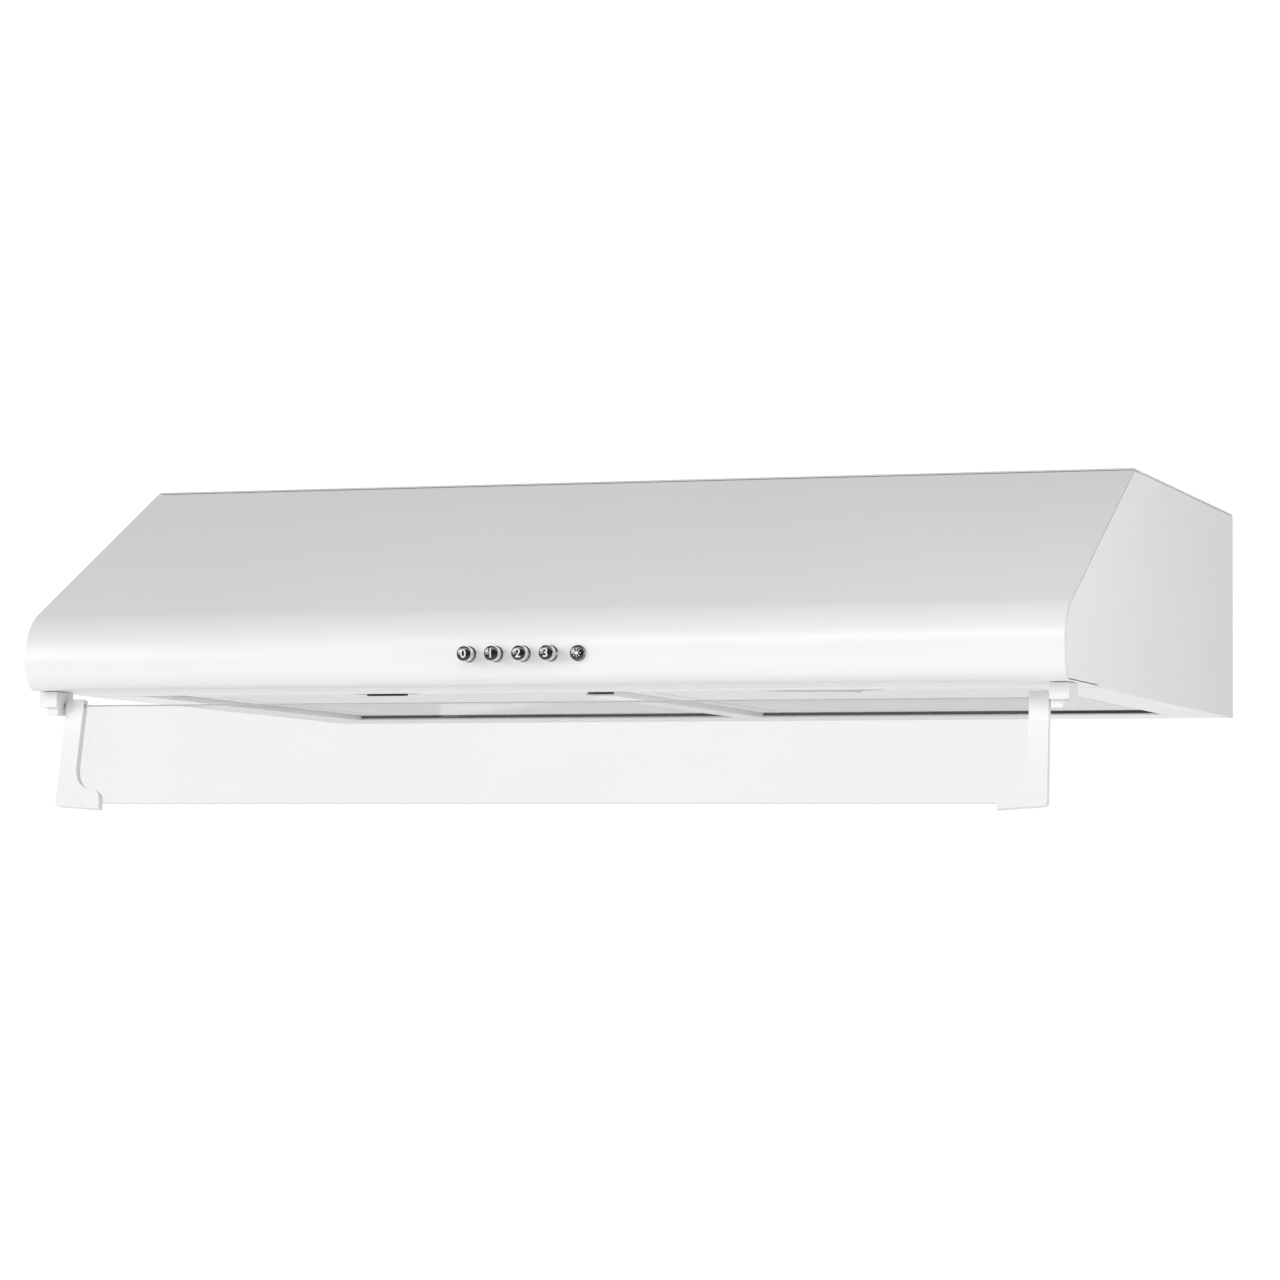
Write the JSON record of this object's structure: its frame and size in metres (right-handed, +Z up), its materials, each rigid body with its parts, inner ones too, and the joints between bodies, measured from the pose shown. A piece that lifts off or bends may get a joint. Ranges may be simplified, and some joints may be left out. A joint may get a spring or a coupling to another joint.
{
  "type": "under cabinet range hood",
  "caption": "White under-cabinet range hood: sloping front, rounded nose with push buttons, swing-out clear visor, drop-down grease filters, fan, lamp and top duct outlet.",
  "frame": {"origin": "on the flat top face, on the centre line, 70 mm behind the top front edge, where the hood screws up against the cabinet", "axes": "+X to the right of someone facing the hood, +Y to the rear wall, +Z up"},
  "size_m": [0.6, 0.4836, 0.2118],
  "materials": {
    "white_paint": "smooth white powder coat, satin",
    "white_plastic": "moulded, semi-gloss",
    "clear_visor": "clear, polished",
    "clear_lens": "lightly frosted inside",
    "bulb_glass": "frosted",
    "chrome": "polished",
    "filter_aluminium": "matt anodised",
    "zinc_sheet": "galvanised",
    "bright_steel": "turned",
    "dark_plastic": "fine texture",
    "grey_plastic": "fine texture"
  },
  "bodies": {
    "hood_body": {"front_panel": "white_paint", "top_panel": "white_paint", "rear_panel": "white_paint", "left_side_panel": "white_paint", "right_side_panel": "white_paint", "filter_rail": "white_paint", "left_filter_seal": "dark_plastic", "right_filter_seal": "dark_plastic", "lamp_panel": "white_paint", "outlet_collar": "dark_plastic", "damper_spindle": "bright_steel", "fan_scroll": "zinc_sheet", "motor_stator": "bright_steel", "motor_can": "zinc_sheet", "lower_bearing": "bright_steel", "upper_bearing": "bright_steel", "capacitor": "grey_plastic", "terminal_box": "grey_plastic", "terminal_box_lid": "grey_plastic", "cable_gland": "dark_plastic", "wiring_loom": "dark_plastic", "switch_block": "dark_plastic", "lamp_lens": "clear_lens", "lamp_reflector": "zinc_sheet", "lamp_holder": "grey_plastic", "lamp_bulb": "bulb_glass", "left_pivot_block": "white_plastic", "right_pivot_block": "white_plastic", "left_visor_pin": "bright_steel", "right_visor_pin": "bright_steel"},
    "visor": {"visor_panel": "clear_visor", "left_visor_bracket": "white_plastic", "right_visor_bracket": "white_plastic"},
    "fan_wheel": {"impeller": "dark_plastic", "motor_shaft": "bright_steel", "motor_rotor": "bright_steel"},
    "front_damper": {"front_damper_flap": "grey_plastic"},
    "rear_damper": {"rear_damper_flap": "grey_plastic"},
    "left_filter": {"left_filter_frame": "filter_aluminium", "left_filter_mesh": "filter_aluminium"},
    "right_filter": {"right_filter_frame": "filter_aluminium", "right_filter_mesh": "filter_aluminium"},
    "left_catch": {"left_filter_latch": "dark_plastic"},
    "right_catch": {"right_filter_latch": "dark_plastic"},
    "off_button": {"button_off": "chrome"},
    "speed_1_button": {"button_speed_1": "chrome"},
    "speed_2_button": {"button_speed_2": "chrome"},
    "speed_3_button": {"button_speed_3": "chrome"},
    "light_button": {"button_light": "chrome"}
  },
  "joints": [
    {"name": "visor_hinge", "type": "hinge", "parent": "hood_body", "child": "visor", "pos_m": [0, -0.219, -0.136], "axis": [1, 0, 0], "range_deg": [0, 100]},
    {"name": "fan_spin", "type": "hinge", "parent": "hood_body", "child": "fan_wheel", "pos_m": [-0.075, 0.034, -0.06], "axis": [0, 0, 1], "continuous": true},
    {"name": "front_damper_hinge", "type": "hinge", "parent": "hood_body", "child": "front_damper", "pos_m": [0, 0.158, -0.0105], "axis": [-1, 0, 0], "range_deg": [0, 75]},
    {"name": "rear_damper_hinge", "type": "hinge", "parent": "hood_body", "child": "rear_damper", "pos_m": [0, 0.158, -0.0105], "axis": [1, 0, 0], "range_deg": [0, 75]},
    {"name": "left_filter_hinge", "type": "hinge", "parent": "hood_body", "child": "left_filter", "pos_m": [-0.1375, 0.1716, -0.123], "axis": [1, 0, 0], "range_deg": [0, 80]},
    {"name": "right_filter_hinge", "type": "hinge", "parent": "hood_body", "child": "right_filter", "pos_m": [0.1375, 0.1716, -0.123], "axis": [1, 0, 0], "range_deg": [0, 80]},
    {"name": "left_catch_slide", "type": "slide", "parent": "left_filter", "child": "left_catch", "axis": [0, 1, 0], "range_m": [0, 0.005], "stiffness_N_per_m": 300},
    {"name": "right_catch_slide", "type": "slide", "parent": "right_filter", "child": "right_catch", "axis": [0, 1, 0], "range_m": [0, 0.005], "stiffness_N_per_m": 300},
    {"name": "off_button_push", "type": "slide", "parent": "hood_body", "child": "off_button", "axis": [0, 1, 0], "range_m": [0, 0.006], "stiffness_N_per_m": 300},
    {"name": "speed_1_button_push", "type": "slide", "parent": "hood_body", "child": "speed_1_button", "axis": [0, 1, 0], "range_m": [0, 0.006], "stiffness_N_per_m": 300},
    {"name": "speed_2_button_push", "type": "slide", "parent": "hood_body", "child": "speed_2_button", "axis": [0, 1, 0], "range_m": [0, 0.006], "stiffness_N_per_m": 300},
    {"name": "speed_3_button_push", "type": "slide", "parent": "hood_body", "child": "speed_3_button", "axis": [0, 1, 0], "range_m": [0, 0.006], "stiffness_N_per_m": 300},
    {"name": "light_button_push", "type": "slide", "parent": "hood_body", "child": "light_button", "axis": [0, 1, 0], "range_m": [-0.006, 0]}
  ]
}
